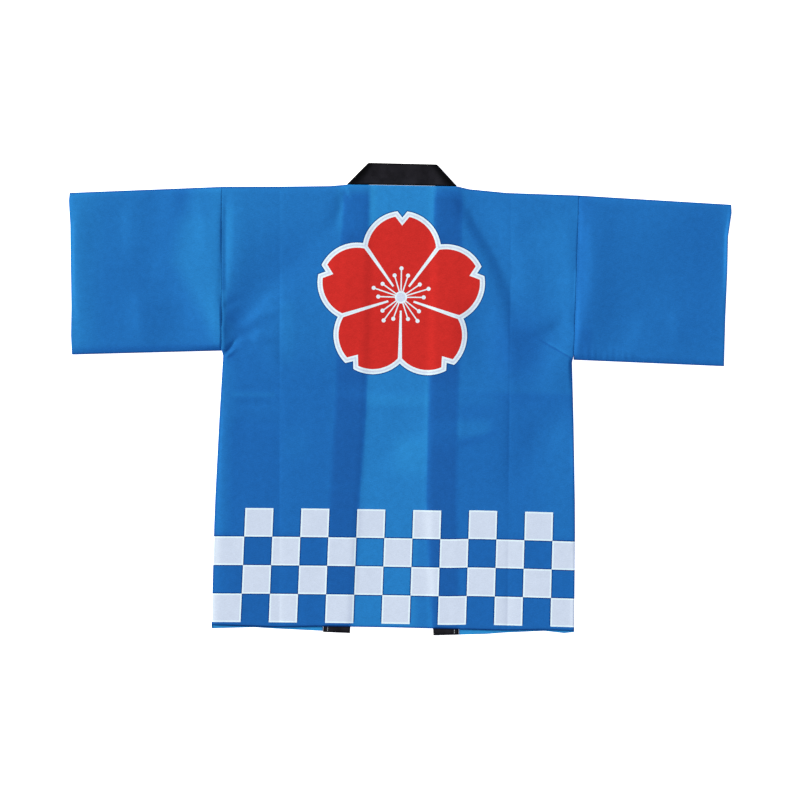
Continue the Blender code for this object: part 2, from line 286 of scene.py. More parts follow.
BODY_SIDE = outline(
    (-326.3, HEM_Y), (-324.8, -234.0), (-323.6, -180.0), (-318.8, -40.0), (-314.0, UNDERARM_Y),
    (-316.6, ARMHOLE_Y), (-ARMHOLE_X, SHOULDER_Y),
)
SHOULDER = outline(
    (-321.5, 376.6), (-217.0, 378.6), (-127.0, 381.3), (-97.5, 384.3), (102.5, 384.3),
    (125.0, 379.8), (191.0, 374.5), (321.5, 372.2),
)
BACK_HEM = outline(
    (-325.0, -412.2), (-270.0, -413.2), (-213.0, -414.0), (-125.0, -411.2), (0.0, -411.0),
    (92.0, -411.8), (200.0, -412.6), (272.0, -410.3), (325.0, -411.5),
)
FRONT_HEM = outline(
    (-325.0, -418.4), (-250.0, -415.1), (-213.0, -416.8), (-126.0, -419.6), (120.0, -422.0),
    (168.0, -420.0), (200.0, -417.0), (272.0, -412.6), (308.0, -416.0), (325.0, -414.0),
)
CUFFS = (
    Cuff(0.0, -586.0, 587.5), Cuff(0.12, -588.4, 587.9), Cuff(0.3, -588.4, 588.4),
    Cuff(0.58, -591.2, 590.5), Cuff(0.8, -593.0, 590.8), Cuff(0.95, -HALF_SPAN, HALF_SPAN),
    Cuff(1.0, -595.0, 595.3),
)
SLEEVES = (
    Sleeve("sleeve_left", -1, 376.6, 360.9, 81.5, 69.8),
    Sleeve("sleeve_right", 1, 372.2, 360.4, 76.0, 69.2),
)
BAND_EDGES = {
    -1: {
        "inner": outline((-56.0, BAND_TOP_Y), (-56.0, -16.0), (-65.0, -177.0), (-77.0, -422.6)),
        "outer": outline((-102.0, BAND_TOP_Y), (-109.0, -17.0), (-116.0, -178.0), (-125.5, -421.4)),
    },
    1: {
        "inner": outline((62.0, BAND_TOP_Y), (58.0, -36.0), (57.5, -175.0), (73.0, -HALF_LENGTH)),
        "outer": outline((109.0, BAND_TOP_Y), (108.0, -35.0), (109.0, -174.0), (119.0, -422.0)),
    },
}
NECK_TOP = {-1: Point(-59.0, HALF_LENGTH), 1: Point(65.0, 423.4)}
NECK_LOW = {-1: Point(-97.0, NECK_Y), 1: Point(102.0, NECK_Y)}


def across(rows, key, wanted, values):
    """Read one column of a table at values of another, straight between its rows."""
    rows = sorted(rows, key=lambda row: getattr(row, key))
    keys = [getattr(row, key) for row in rows]
    return np.interp(values, keys, [getattr(row, wanted) for row in rows])


def side_x(side, y):
    """The body's left (-1) or right (1) edge at a height on the coat."""
    return -side * across(BODY_SIDE, "y", "x", y)


def band_x(side, edge, y):
    return across(BAND_EDGES[side][edge], "y", "x", y)


def below_shoulder(x, y):
    return across(SHOULDER, "x", "y", x) - y


def above_hem(hem, x, y):
    return y - across(hem, "x", "y", x)


def from_sides(x, y):
    """Distance to the nearer side of the body."""
    return np.minimum(x - side_x(-1, y), side_x(1, y) - x)


def lerp(start, end, part):
    return start + (end - start) * part


def smooth_step(low, high, value):
    part = np.clip((value - low) / (high - low), 0.0, 1.0)
    return part * part * (3.0 - 2.0 * part)


def window(low, high, soft, value):
    """1 between two limits and 0 beyond them, with soft ends."""
    return smooth_step(low - soft, low + soft, value) * smooth_step(high + soft, high - soft, value)


print("body width at the hem in mm:", 2 * side_x(1, HEM_Y))

# %% [markdown]
# ## Creases, folds and swells
#
# Real cloth never lies flat. From each underarm a few folds fan out, because the sleeve pulls there;
# storage pressed sharp lines into the cloth; and in between it swells a little over the air below. A
# simulation would fold it in other places, so each fold is listed: a line with a bend, a width
# on each side, and a height. Heights under zero are troughs.

# %% Tables of the folds, in millimetres
Fold = namedtuple("Fold", "name x0 y0 x1 y1 bend left right height sharp")
Crease = namedtuple("Crease", "name x0 y0 x1 y1 reach depth tilt peak")
Swell = namedtuple("Swell", "name x y reach_x reach_y height")

BACK_FOLDS = (
    Fold("long drag", -309, 66, -62, 347, 31, 54, 46, -3.4, 1.7),
    Fold("left seam strip", -322, 88, -300, 420, -13, 16, 32, 2.1, 2.1),
    Fold("left underarm fall", -328, 54, -337, 199, -13, 36, 20, 4.2, 1.4),
    Fold("left slanting", -302, 106, -169, 164, 13, 12, 13, 1.6, 1.9),
    Fold("left triangle", -276, 111, -165, 200, 13, 19, 80, 2.4, 2.0),
    Fold("left level", -304, 84, -202, 108, 8, 10, 13, 1.8, 2.2),
    Fold("left level spot", -260, 96, -235, 122, 5, 10, 13, 0.8, 1.6),
    Fold("left notch trough", -317, 74, -284, 117, -6, 6, 7, -1.0, 1.6),
    Fold("left notch line", -315, 76, -289, 106, -2, 3, 3, -1.3, 1.6),
    Fold("left notch light", -311, 68, -287, 88, 0, 3, 3, 0.9, 1.6),
    Fold("left short line", -326, 153, -266, 176, 4, 7, 9, -0.8, 1.8),
    Fold("left low ridge", -289, 82, -198, 32, 24, 18, 17, 1.8, 1.8),
    Fold("left neck ray", -98, 384, -118, 300, 1, 5, 7, -1.0, 1.6),
    Fold("left neck hollow", -97, 376, -151, 279, 11, 22, 16, -1.2, 2.0),
    Fold("right long trough", 80, 398, 223, 85, 31, 40, 17, -4.7, 1.9),
    Fold("right crease fall", 197, 155, 205, -31, 1, 20, 11, 1.4, 1.5),
    Fold("right wedge", 311, 159, 195, 106, 18, 42, 18, -2.6, 1.8),
    Fold("right underarm light", 335, 119, 266, -9, -14, 29, 26, 1.7, 2.2),
    Fold("right seam ridge", 296, 361, 304, 91, 9, 40, 19, 1.4, 1.6),
    Fold("right small fold", 290, 356, 322, 334, 0, 5, 6, -0.4, 1.5),
    Fold("right body smudge", 247, 265, 248, 127, 21, 58, 32, -2.6, 2.0),
    Fold("right body hollow", 231, 338, 272, 217, -8, 30, 27, -1.3, 2.1),
    Fold("light beside the trough", 144, 200, 160, 3, 1, 27, 33, -2.6, 2.1),
    Fold("left level smudge", -294, -10, -186, -15, -1, 8, 9, -1.0, 1.7),
    Fold("left second smudge", -292, 14, -187, 8, 2, 6, 6, -0.5, 1.6),
    Fold("left lower smudge", -301, -40, -197, -54, -3, 8, 8, -1.0, 1.7),
    Fold("right slanting shade", 310, 4, 203, -79, 21, 23, 35, -1.3, 1.9),
    Fold("right slanting light", 311, -40, 183, -206, -19, 57, 44, -2.6, 1.8),
    Fold("centre slanting light", 58, -31, -64, -137, 4, 20, 36, -1.1, 1.9),
    Fold("centre level", -103, 0, 87, -6, -3, 16, 16, 1.2, 2.0),
    Fold("left side roll", -310, 60, -313, -430, 0, 24, 9, 0.6, 1.8),
)
LEFT_SLEEVE_FOLDS = (
    Fold("rise beside the seam", -330, 387, -333, 61, 3, 14, 83, 2.3, 1.6),
    Fold("left underarm fall", -328, 54, -337, 199, -13, 36, 20, 4.2, 1.4),
    Fold("upper streak", -504, 348, -492, 236, -5, 12, 60, -1.1, 2.0),
    Fold("lower streak", -471, 193, -458, 68, 1, 60, 18, 2.0, 1.4),
    Fold("shade above", -438, 402, -432, 241, -4, 23, 29, -1.2, 2.1),
    Fold("shade below", -452, 221, -374, 76, 22, 18, 42, -1.7, 2.2),
    Fold("cuff roll", -574, 368, -556, 59, -15, 26, 11, 1.4, 2.0),
    Fold("crest", -369, 389, -354, 211, 14, 57, 17, 1.2, 2.2),
    Fold("middle hollow", -441, 288, -460, 160, 2, 21, 28, -1.1, 1.8),
)
RIGHT_SLEEVE_FOLDS = (
    Fold("ridge beside the seam", 335, 398, 300, 16, 28, 43, 24, 4.8, 1.8),
    Fold("low ridge", 453, 167, 396, 51, 8, 80, 22, 1.9, 1.9),
    Fold("short streak", 497, 177, 498, 97, 4, 30, 12, 0.85, 1.6),
    Fold("middle rise", 466, 358, 431, 162, -20, 60, 60, 2.0, 2.1),
    Fold("outer hollow", 559, 379, 552, 153, 29, 35, 50, -2.0, 1.7),
)
BACK_CREASES = (
    Crease("left storage fold", -217, 384, -204, -416, 7, 0.65, 0.45, 0.34),
    Crease("right storage fold", 199, 384, 206, -416, 7, 0.75, -0.3, 0.42),
    Crease("level storage fold", -318, 13, 318, 17, 8, 0.60, -0.5, 0.50),
    Crease("right underarm crease", 322, 77, 248, 117, 2.5, 1.5, 0.0, 0.50),
)
BACK_SWELLS = (
    Swell("upper coat", 0, 230, 330, 190, 2.6),
    Swell("left back", -200, -150, 110, 160, 0.6),
    Swell("right back", 210, -140, 110, 150, 0.6),
)
SLEEVE_SWELLS = BACK_SWELLS[:1]
PUCKERS = 8
PUCKER_PITCH = 11.0
PUCKER_START = 341.0


def along_and_aside(row, x, y):
    """Share of the way along a row's line, distance to its left, and the line's length."""
    run_x, run_y = row.x1 - row.x0, row.y1 - row.y0
    length = math.hypot(run_x, run_y)
    along = ((x - row.x0) * run_x + (y - row.y0) * run_y) / length**2
    aside = ((x - row.x0) * -run_y + (y - row.y0) * run_x) / length
    return along, aside, length


def fold_height(fold, x, y):
    """A soft ridge or trough on a bent line. It rises soon after its start and fades slowly."""
    along, aside, _ = along_and_aside(fold, x, y)
    inside = np.clip(along, 0.0, 1.0)
    aside = aside - fold.bend * 4.0 * inside * (1.0 - inside)
    width = np.where(aside > 0.0, fold.left, fold.right)
    fade = smooth_step(0.0, 0.3, inside) * smooth_step(1.0, 0.5, inside)
    return fold.height * fade * np.exp(-(np.abs(aside / width) ** fold.sharp))


def crease_height(crease, x, y):
    """A pressed line: a sharp V, uneven along its length, with one side left a little higher."""
    along, aside, length = along_and_aside(crease, x, y)
    ends = smooth_step(0.0, 14.0, length * np.minimum(along, 1.0 - along))
    strongest = 0.5 * np.exp(-(((along - crease.peak) / 0.12) ** 2))
    uneven = 0.5 + 0.2 * np.sin(17.0 * along + crease.x0) + strongest
    valley = -crease.depth * np.exp(-np.abs(aside) / crease.reach)
    step = crease.tilt * crease.depth * np.tanh(aside / crease.reach) * np.exp(-np.abs(aside) / 60.0)
    return ends * uneven * (valley + step)


def swell_height(swell, x, y):
    reach = ((x - swell.x) / swell.reach_x) ** 2 + ((y - swell.y) / swell.reach_y) ** 2
    return swell.height * np.exp(-reach)


def unrest(x, y, seed):
    """Slow, shallow waves that keep large plain areas from looking pressed flat."""
    heights = np.zeros(x.shape)
    for index in np.ndindex(x.shape):
        slow = (x[index] / 90.0, y[index] / 120.0, seed)
        quick = (x[index] / 28.0, y[index] / 40.0, seed + 7.0)
        heights[index] = 0.55 * noise.noise(slow) + 0.13 * noise.noise(quick)
    return heights


def relief(x, y, folds, creases, swells, seed):
    """All the folds, creases and swells of one layer together."""
    height = unrest(x, y, seed)
    for rows, shape in ((folds, fold_height), (creases, crease_height), (swells, swell_height)):
        for row in rows:
            height += shape(row, x, y)
    return height


print("folds placed by hand:", len(BACK_FOLDS) + len(LEFT_SLEEVE_FOLDS) + len(RIGHT_SLEEVE_FOLDS))

# %% [markdown]
# ## From a grid of points to cloth
#
# Every piece of cloth starts as rows of points on its outer face, a plain grid or the closed rings of
# a tube. One helper turns them into a mesh, lays a flat map of the cloth on it for the print, keeps a
# tone for each point, and thickens it inwards with Solidify. The inner wall takes the plain inside.

# %% A helper for sheets of cloth
PRINT_SLANT = 0.0164
PRINT_TWIST = 3.48e-5
PRINT_PIVOT = 225.0
STRAIGHT_ABOVE = -150.0
DROOP = 2.0
DROOP_REACH = 305.0
RIGHT_LIFT = 1.8


def stations(start, spans):
    """Places along a line, each span up to its end with about its own step."""
    places = [start]
    for span in spans:
        count = max(1, round(abs(span.end - places[-1]) / span.step))
        places += list(np.linspace(places[-1], span.end, count + 1)[1:])
    return np.array(places)


def grid_faces(rows, columns, ring):
    """Quads between the rows, closed round each row where it is a ring."""
    faces = []
    for row in range(rows - 1):
        for column in range(columns if ring else columns - 1):
            after = (column + 1) % columns
            low, high = row * columns, (row + 1) * columns
            faces.append((low + column, low + after, high + after, high + column))
    return faces


def cloth_map(x, y):
    """Where a point lies on the flat cloth, in metres. The print hangs a little off the grain."""
    drift = (PRINT_SLANT - PRINT_TWIST * x) * (np.minimum(y, STRAIGHT_ABOVE) + PRINT_PIVOT)
    droop = DROOP * (x / DROOP_REACH) ** 2 - RIGHT_LIFT * smooth_step(90.0, 150.0, x)
    return (x - drift) * MM, (y + droop) * MM


def make_sheet(name, points, tone, material, inside=None, ring=False, flip=False, thickness=CLOTH):
    """A mesh of cloth from its outer face, with its flat map, its tone, its thickness and its inside."""
    rows, columns = points.shape[:2]
    faces = grid_faces(rows, columns, ring)
    if flip:
        faces = [face[::-1] for face in faces]
    mesh = bpy.data.meshes.new(name)
    mesh.from_pydata((points.reshape(-1, 3) * MM).tolist(), [], faces)
    flat = np.column_stack(cloth_map(points[..., 0].ravel(), points[..., 1].ravel()))
    corners = np.zeros(len(mesh.loops), dtype=np.int32)
    mesh.loops.foreach_get("vertex_index", corners)
    mesh.uv_layers.new(name="cloth").data.foreach_set("uv", flat[corners].astype(np.float32).ravel())
    tones = mesh.attributes.new("tone", "FLOAT", "POINT")
    tones.data.foreach_set("value", tone.astype(np.float32).ravel())
    mesh.materials.append(material)
    mesh.materials.append(inside or material)
    mesh.shade_smooth()
    piece = bpy.data.objects.new(name, mesh)
    bpy.context.scene.collection.objects.link(piece)
    thicken(piece, thickness)
    print(name, "faces:", len(piece.data.polygons))
    return piece


def thicken(piece, thickness):
    bpy.ops.object.select_all(action="DESELECT")
    piece.select_set(True)
    bpy.context.view_layer.objects.active = piece
    wall = piece.modifiers.new("wall", "SOLIDIFY")
    wall.thickness = thickness * MM
    wall.offset = -1.0
    wall.use_even_offset = False
    wall.material_offset = 1
    bpy.ops.object.modifier_apply(modifier=wall.name)


def declare_sheet(piece, node):
    """Hang a piece of cloth on the root, and hide the solid of the model that it is built on."""
    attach(piece, "root")
    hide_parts(node)


# %% [markdown]
# ## The cloth itself
#
# The blue cloth is a thin pressed felt of long fibres, as festival coats often are, so it has no
# weave. Seen close, fibres run in all directions and the cloth is a little thicker here and thinner
# there. Noises stretched three ways look like such fibres, and a rounder noise gives the clouds. The
# group puts out both, and each material decides how strongly it shows them.

# %% A node group for felted cloth
GRAIN_SCALE = 620.0
FIBRE_TURNS = (0.5, 2.1, 2.9)
FIBRE_STRETCH = (160.0, 1300.0, 1.0)
BLUE_CLOUDS = 85.0
BLACK_CLOUDS = 36.0


def make_felt_group():
    tree = new_group("felted_cloth", ("Clouds", "Grain", "Height"), {"Cloud Scale": BLUE_CLOUDS})
    cloud_scale = add_node(tree, "NodeGroupInput", {}, "Cloud Scale")
    flat = flat_place(tree)
    grain = noise_value(flat, GRAIN_SCALE, 2.0, 0.7)
    fibres = None
    for turn in FIBRE_TURNS:
        inputs = {"Vector": flat, "Rotation": (0.0, 0.0, turn), "Scale": FIBRE_STRETCH}
        height = noise_value(add_node(tree, "ShaderNodeMapping", inputs), 1.0, 1.0, 0.5)
        fibres = fibres.math("MAXIMUM", height) if fibres else height
    outputs = {
        "Clouds": noise_value(flat, cloud_scale, 3.0, 0.6),
        "Grain": (grain + fibres) * 0.5,
        "Height": fibres + grain * 0.6,
    }
    place_node(tree, "NodeGroupOutput", outputs)
    return tree


felt_group = make_felt_group()
print("felt nodes:", len(felt_group.nodes))

# %% [markdown]
# ## The check border
#
# Four rows of squares run round the hem, a traditional chequer. A square is white where the numbers
# of its row and its column add up to an even number. The distance to the nearest edge of the square
# gives the paler line that frames each white square and the darker one that frames each blue one.

CHECK_PITCH = 50.32 * MM
CHECK_ROW = 51.3 * MM
CHECK_LEFT = -269.3 * MM
CHECK_TOP = -199.0 * MM
CHECK_ROWS = 4.0
LEAST_COLUMN = -0.94
CHECK_RIM = 2.6 * MM
CHECK_LINE = 1.8 * MM
FRAME_SOFT = 1.2 * MM


def between(value, low, high):
    return value.math("GREATER_THAN", low) * value.math("LESS_THAN", high)


def make_check_group():
    tree = new_group("check_border", ("White", "Rim", "Line"), {})
    x, y = flat_x_and_y(tree)
    column = ((x - CHECK_LEFT) / CHECK_PITCH).math("MAXIMUM", LEAST_COLUMN)
    row = (y - CHECK_TOP) / -CHECK_ROW
    number = column.math("FLOOR") + row.math("FLOOR")
    even = (number * 0.5).math("FRACT").math("LESS_THAN", 0.25)
    to_side = column.math("PINGPONG", 0.5) * CHECK_PITCH
    to_edge = to_side.math("MINIMUM", row.math("PINGPONG", 0.5) * CHECK_ROW)
    outputs = {
        "White": even * between(row, 0.0, CHECK_ROWS),
        "Rim": cut_edge(to_edge - CHECK_RIM, FRAME_SOFT),
        "Line": cut_edge(to_edge - CHECK_LINE, FRAME_SOFT) * between(row, 0.05, CHECK_ROWS - 0.05),
    }
    place_node(tree, "NodeGroupOutput", outputs)
    return tree


check_group = make_check_group()

# %% [markdown]
# ## The blossom on the back
#
# The back carries one large red print with a white edge. A five-petalled blossom stands there: a
# plain traditional motif, the same for each fifth of a turn, so only one petal has to be described.
# The angle is folded into one petal's share, and the petal is a circle with a notch cut in its tip.

# %% A node group for the blossom
BLOSSOM_CENTRE = (3.0 * MM, 183.0 * MM)
PETAL_SHARE = math.pi / 5
PETAL_RADIUS = 62.0 * MM
PETAL_REACH = 84.0 * MM
NOTCH_APEX = 129.0 * MM
NOTCH_SLOPE = 1.25
OUTLINE = 9.0 * MM
SLIT_HALF = 1.2 * MM
SLIT_SPREAD = 0.022
SLIT_START = 24.0 * MM
HEART_RADIUS = 11.0 * MM
STALK_HALF = 1.1 * MM
STAMEN_HEAD = 3.6 * MM
STAMENS = {0.0: 52.0 * MM, 0.3: 41.0 * MM}
PRINT_RIM = 2.9 * MM
PRINT_RIM_SOFT = 1.4 * MM
PRINT_LINE = 1.6 * MM


def length_2d(x, y):
    return (x * x + y * y).math("SQRT")


def make_blossom_group():
    tree = new_group("blossom", ("Print", "Red", "Rim", "Line"), {})
    x, y = flat_x_and_y(tree)
    x, y = x - BLOSSOM_CENTRE[0], y - BLOSSOM_CENTRE[1]
    radius = length_2d(x, y)
    angle = x.math("ARCTAN2", y).math("ABSOLUTE").math("PINGPONG", PETAL_SHARE)
    aside = radius * angle.math("SINE")
    outward = radius * angle.math("COSINE")
    to_circle = length_2d(aside, outward - PETAL_REACH) - PETAL_RADIUS
    to_notch = (outward - NOTCH_APEX - aside * NOTCH_SLOPE) / math.hypot(1.0, NOTCH_SLOPE)
    petal = to_circle.math("MAXIMUM", to_notch).math("MINIMUM", radius - 0.5 * PETAL_REACH)
    red = petal
    for white in (blossom_slit(radius, angle), radius - HEART_RADIUS, *stamens(radius, angle)):
        red = red.math("MAXIMUM", white * -1.0)
    outer = petal - OUTLINE
    edge = red.math("ABSOLUTE").math("MINIMUM", outer.math("ABSOLUTE"))
    outputs = {
        "Print": cut_edge(outer),
        "Red": cut_edge(red),
        "Rim": cut_edge(edge - PRINT_RIM, PRINT_RIM_SOFT),
        "Line": cut_edge(outer - PRINT_LINE, FRAME_SOFT),
    }
    place_node(tree, "NodeGroupOutput", outputs)
    return tree


def blossom_slit(radius, angle):
    """The white slit between two petals, narrower towards the heart."""
    away = radius * (angle - PETAL_SHARE).math("SINE") * -1.0
    to_side = away - radius * SLIT_SPREAD - SLIT_HALF
    return to_side.math("MAXIMUM", (radius - SLIT_START) * -1.0)


def stamens(radius, angle):
    """Thin stalks from the heart with round heads."""
    shapes = []
    for lean, reach in STAMENS.items():
        bearing = (angle - lean).math("ABSOLUTE")
        away = radius * bearing.math("SINE")
        past_head = radius * bearing.math("COSINE") - reach
        stalk = (away - STALK_HALF).math("MAXIMUM", past_head)
        shapes.append(stalk.math("MINIMUM", length_2d(away, past_head) - STAMEN_HEAD))
    return shapes


blossom_group = make_blossom_group()
print("blossom nodes:", len(blossom_group.nodes))

# %% [markdown]
# ## Blue, white, red and black
#
# The blue is thin enough for what lies under it to show: darker over the black band, lighter where
# only the table is below. Each mesh keeps that as a tone for each point, from 0 for the band over
# 0.5 for the fronts to 1 for the bare gap, and a colour ramp turns it into the blues. The tone also
# carries painted light and shade: soft patches and thin streaks, and below 0 a painted shade line at
# a rolled edge. Tones above 1 are the fronts' pale hem. The prints lie on top, and they carry the same
# felt. The inside has no print.

# %% Materials
# The darkest blue is the painted shade line at a rolled edge.
EDGE_SHADE_BLUE = srgb(15, 58, 118)
BAND_BLUE = srgb(31, 92, 166)
FRONT_BLUE = srgb(33, 104, 180)
GAP_BLUE = srgb(43, 132, 202)
HEM_BLUE = srgb(52, 152, 216)
LINE_BLUE = srgb(0, 55, 128)
PRINT_WHITE = srgb(207, 219, 238)
RIM_WHITE = srgb(228, 247, 255)
PRINT_RED = srgb(206, 47, 43)
BAND_BLACK = srgb(32, 31, 36)
SHADED_EDGE_BLACK = srgb(6, 6, 8)
THREAD_GREY = srgb(205, 210, 218)
THREAD_SHADE = srgb(164, 168, 174.4)
LEAST_TONE = -0.3
MOST_TONE = 1.25
BLUE_GRAIN = 1.2
BLUE_MOTTLE = 0.26
WHITE_GRAIN = -0.55
WHITE_MOTTLE = -0.14
BLUE_STOPS = {0.0: BAND_BLUE, 0.5: FRONT_BLUE, 1.0: GAP_BLUE}


def point_tone(tree):
    return add_node(tree, "ShaderNodeAttribute", {}, "Fac", attribute_name="tone")


def blue_by_tone(tree):
    """The blue cloth's colour, read from the tone of each point."""
    span = MOST_TONE - LEAST_TONE
    ramp = place_node(tree, "ShaderNodeValToRGB", {"Fac": (point_tone(tree) - LEAST_TONE) / span})
    stops = ramp.color_ramp.elements
    stops[0].color = EDGE_SHADE_BLUE
    stops[1].color = HEM_BLUE
    for tone, colour in BLUE_STOPS.items():
        stops.new((tone - LEAST_TONE) / span).color = colour
    return Wire(tree, ramp.outputs["Color"])


def frame_print(marks, colour, strength):
    """Draw the dark line round a print, and give the white of the print its paler rim."""
    colour = mix_colours(marks["Line"] * strength, colour, LINE_BLUE)
    return colour, mix_colours(marks["Rim"], PRINT_WHITE, RIM_WHITE)


def finish_felt(shader, colour, clouds, grain, height, cloud_scale=BLUE_CLOUDS):
    """Let the felt's clouds and grain tint a colour, and its fibres roughen the surface."""
    felt = use_group(colour.tree, felt_group, {"Cloud Scale": cloud_scale})
    total = (felt["Clouds"] - 0.5) * clouds + (felt["Grain"] - 0.55) * grain + 1.0
    tint = add_node(colour.tree, "ShaderNodeVectorMath", {0: colour, "Scale": total}, operation="SCALE")
    relief_inputs = {"Strength": 0.5, "Distance": height, "Height": felt["Height"]}
    feed(shader, {"Base Color": tint, "Normal": add_node(colour.tree, "ShaderNodeBump", relief_inputs)})


def make_blue(name, checks, blossom):
    material, shader = start_material(name, {"Roughness": 0.8, "Specular IOR Level": 0.0})
    tree = material.node_tree
    colour, grain, clouds = blue_by_tone(tree), BLUE_GRAIN, BLUE_MOTTLE
    if checks:
        marks = use_group(tree, check_group, {})
        colour, white = frame_print(marks, colour, strength=0.95)
        colour = mix_colours(marks["White"], colour, white)
        grain = marks["White"] * WHITE_GRAIN + grain
        clouds = marks["White"] * WHITE_MOTTLE + clouds
    if blossom:
        marks = use_group(tree, blossom_group, {})
        colour, white = frame_print(marks, colour, strength=0.9)
        colour = mix_colours(marks["Print"], colour, mix_colours(marks["Red"], white, PRINT_RED))
    finish_felt(shader, colour, clouds, grain, height=0.22 * MM)
    return material


def make_black():
    material, shader = start_material("black_felt", {"Roughness": 0.75, "Specular IOR Level": 0.03})
    # Painted shade: the black darkens towards the band's folded edges and where it turns over.
    shaded_black = mix_colours(point_tone(material.node_tree), SHADED_EDGE_BLACK, BAND_BLACK)
    finish_felt(shader, shaded_black, clouds=2.0, grain=1.2, height=0.3 * MM, cloud_scale=BLACK_CLOUDS)
    return material


def make_thread():
    material, shader = start_material("pale_thread", {"Roughness": 0.55, "Specular IOR Level": 0.3})
    place = add_node(material.node_tree, "ShaderNodeTexCoord", {}, "Object")
    spun = noise_value(place, 2200.0, 1.0, 0.5)
    feed(shader, {"Base Color": mix_colours(spun, THREAD_SHADE, THREAD_GREY)})
    return material


printed_back = make_blue("blue_felt_back", checks=True, blossom=True)
printed_front = make_blue("blue_felt_front", checks=True, blossom=False)
plain_blue = make_blue("blue_felt_plain", checks=False, blossom=False)
black_felt = make_black()
pale_thread = make_thread()

# %% [markdown]
# ## The back
#
# The back is one width of cloth. It rolls down at both sides and along the shoulders, where it turns
# into the fronts, and dips at the armholes, where the sleeves are sewn on. Its hem and its neck edge
# are loose. The columns of the grid follow the storage folds down the cloth, and they are closer
# together there and at the sides, because a narrow crease needs narrow faces. Where a fold hides its
# own flank from the soft light, patches and thin streaks of painted light and shade in the tone add
# what the fold's own shading leaves out.

# %% Build the back
Guide = namedtuple("Guide", "name side top hem step")
GUIDES = (
    Guide("left edge", -1, 0.0, 0.0, 1.0),
    Guide("left rim", -1, 1.4, 1.4, 0.35),
    Guide("left roll", -1, EDGE_ROUND, EDGE_ROUND, 1.6),
    Guide("left underarm", 0, -270.0, -270.0, 1.8),
    Guide("before the left crease", 0, -223.0, -210.0, 3.4),
    Guide("left crease", 0, -217.0, -204.0, 1.5),
    Guide("past the left crease", 0, -211.0, -198.0, 1.5),
    Guide("left band outer", 0, -105.0, -129.0, 4.4),
    Guide("left band inner", 0, -52.0, -73.0, 4.0),
    Guide("right band inner", 0, 58.0, 69.0, 4.8),
    Guide("right band outer", 0, 112.0, 122.0, 4.0),
    Guide("before the right crease", 0, 193.0, 200.0, 4.2),
    Guide("right crease", 0, 199.0, 206.0, 1.5),
    Guide("past the right crease", 0, 205.0, 212.0, 1.5),
    Guide("right underarm", 0, 246.0, 262.0, 3.4),
    Guide("right roll", 1, -EDGE_ROUND, -EDGE_ROUND, 1.8),
    Guide("right rim", 1, -1.4, -1.4, 1.6),
    Guide("right edge", 1, 0.0, 0.0, 0.35),
)
BODY_HEIGHT = SHOULDER_Y - HEM_Y
BACK_ROWS = (
    Span(1.5, 0.5), Span(10.0, 1.7), Span(395.0, 5.6), Span(478.0, 2.4), Span(540.0, 1.6),
    Span(600.0, 2.4), Span(779.0, 4.0), Span(BODY_HEIGHT - 1.5, 1.7), Span(BODY_HEIGHT, 0.5),
)
NECK_RIM_ROUND = 5.0
NECK_RIM_OFF = 4.0
BAND_FADE_Y = (382.0, 354.0)
SIDE_LOW = 2.0
HEM_LOW = 2.2
NECK_LOW_Z = 3.3
Flank = namedtuple("Flank", "reach blend")
SEAM_RISE = Flank(7.0, 9.0)
SEAM_DROP = Flank(2.0, 3.4)
SEAM_DEPTH = {-1: 0.24, 1: 0.42}
SEAM_Y = (76.0, 90.0, 120.0, 180.0, 260.0, 330.0, 372.0)
SEAM_LEVELS = {-1: (6.0, 8.3, 9.4, 7.1, 6.95, 6.65, 5.1), 1: (5.9, 6.0, 5.6, 5.8, 6.5, 5.6, 5.0)}
HEM_ROUND = 6.0
RIM = 1.4
# Painted shade line at a rolled edge.
EDGE_SHADE_TONE = 0.60
Roll = namedtuple("Roll", "reach share")
SIDE_ROLLS = {-1: Roll(18.0, 0.75), 1: Roll(5.0, 0.85)}


def level_at(hem, x, part):
    """Y at a share of the way up from a hem to the shoulder line."""
    return lerp(across(hem, "x", "y", x), across(SHOULDER, "x", "y", x), part)


def crossing(line, hem, parts):
    """X where a line down the body crosses each row of points, which isn't quite level."""
    y = lerp(HEM_Y, SHOULDER_Y, parts)
    for _ in range(3):
        y = level_at(hem, line(y), parts)
    return line(y)


def guide_x(guide, y):
    x = lerp(guide.hem, guide.top, (y - HEM_Y) / BODY_HEIGHT)
    return x + (side_x(guide.side, y) if guide.side else 0.0)


def back_columns(parts):
    """X of every column at every row, even between two guides."""
    lines = [crossing(lambda y, row=guide: guide_x(row, y), BACK_HEM, parts) for guide in GUIDES]
    columns = [lines[0]]
    for guide, near, far in zip(GUIDES[1:], lines, lines[1:]):
        count = max(1, round(float(np.mean(far - near)) / guide.step))
        columns += [lerp(near, far, step / count) for step in range(1, count + 1)]
    return np.stack(columns, axis=1)


def quarter(edge, reach):
    """A quarter round that rises from 0 at an edge to 1 at its reach."""
    return np.sqrt(1.0 - (1.0 - np.clip(edge / reach, 0.0, 1.0)) ** 2)


def rolled(height, low, edge, reach, share=0.5):
    """Let a surface fall to a lower height at an edge: a long slope, then a small round at the end."""
    slope = 1.0 - (1.0 - np.clip(edge / reach, 0.0, 1.0)) ** 2
    return low + (height - low) * (share * quarter(edge, RIM) + (1.0 - share) * slope)


def grooved(height, side, y, seam, flank):
    """Bring the cloth to the seam's own level, and let it dip there, steeply or gently."""
    level = np.interp(y, SEAM_Y, SEAM_LEVELS[side])
    height = lerp(level, height, smooth_step(0.0, flank.blend, seam))
    return height - SEAM_DEPTH[side] * (1.0 - np.clip(seam / flank.reach, 0.0, 1.0)) ** 2


def painted_edge_shade(edge):
    """Painted shade: the cloth is darker in a thin line right at a rolled edge."""
    return EDGE_SHADE_TONE * smooth_step(3.2, 1.6, edge)


def over_layers(x, y, soft):
    """How much of the band (0 to 1) and of the bare gap (0 to 1) lies under a point of the back."""
    inner, outer = [window(band_x(-1, edge, y), band_x(1, edge, y), soft, x) for edge in ("inner", "outer")]
    return outer - inner, inner


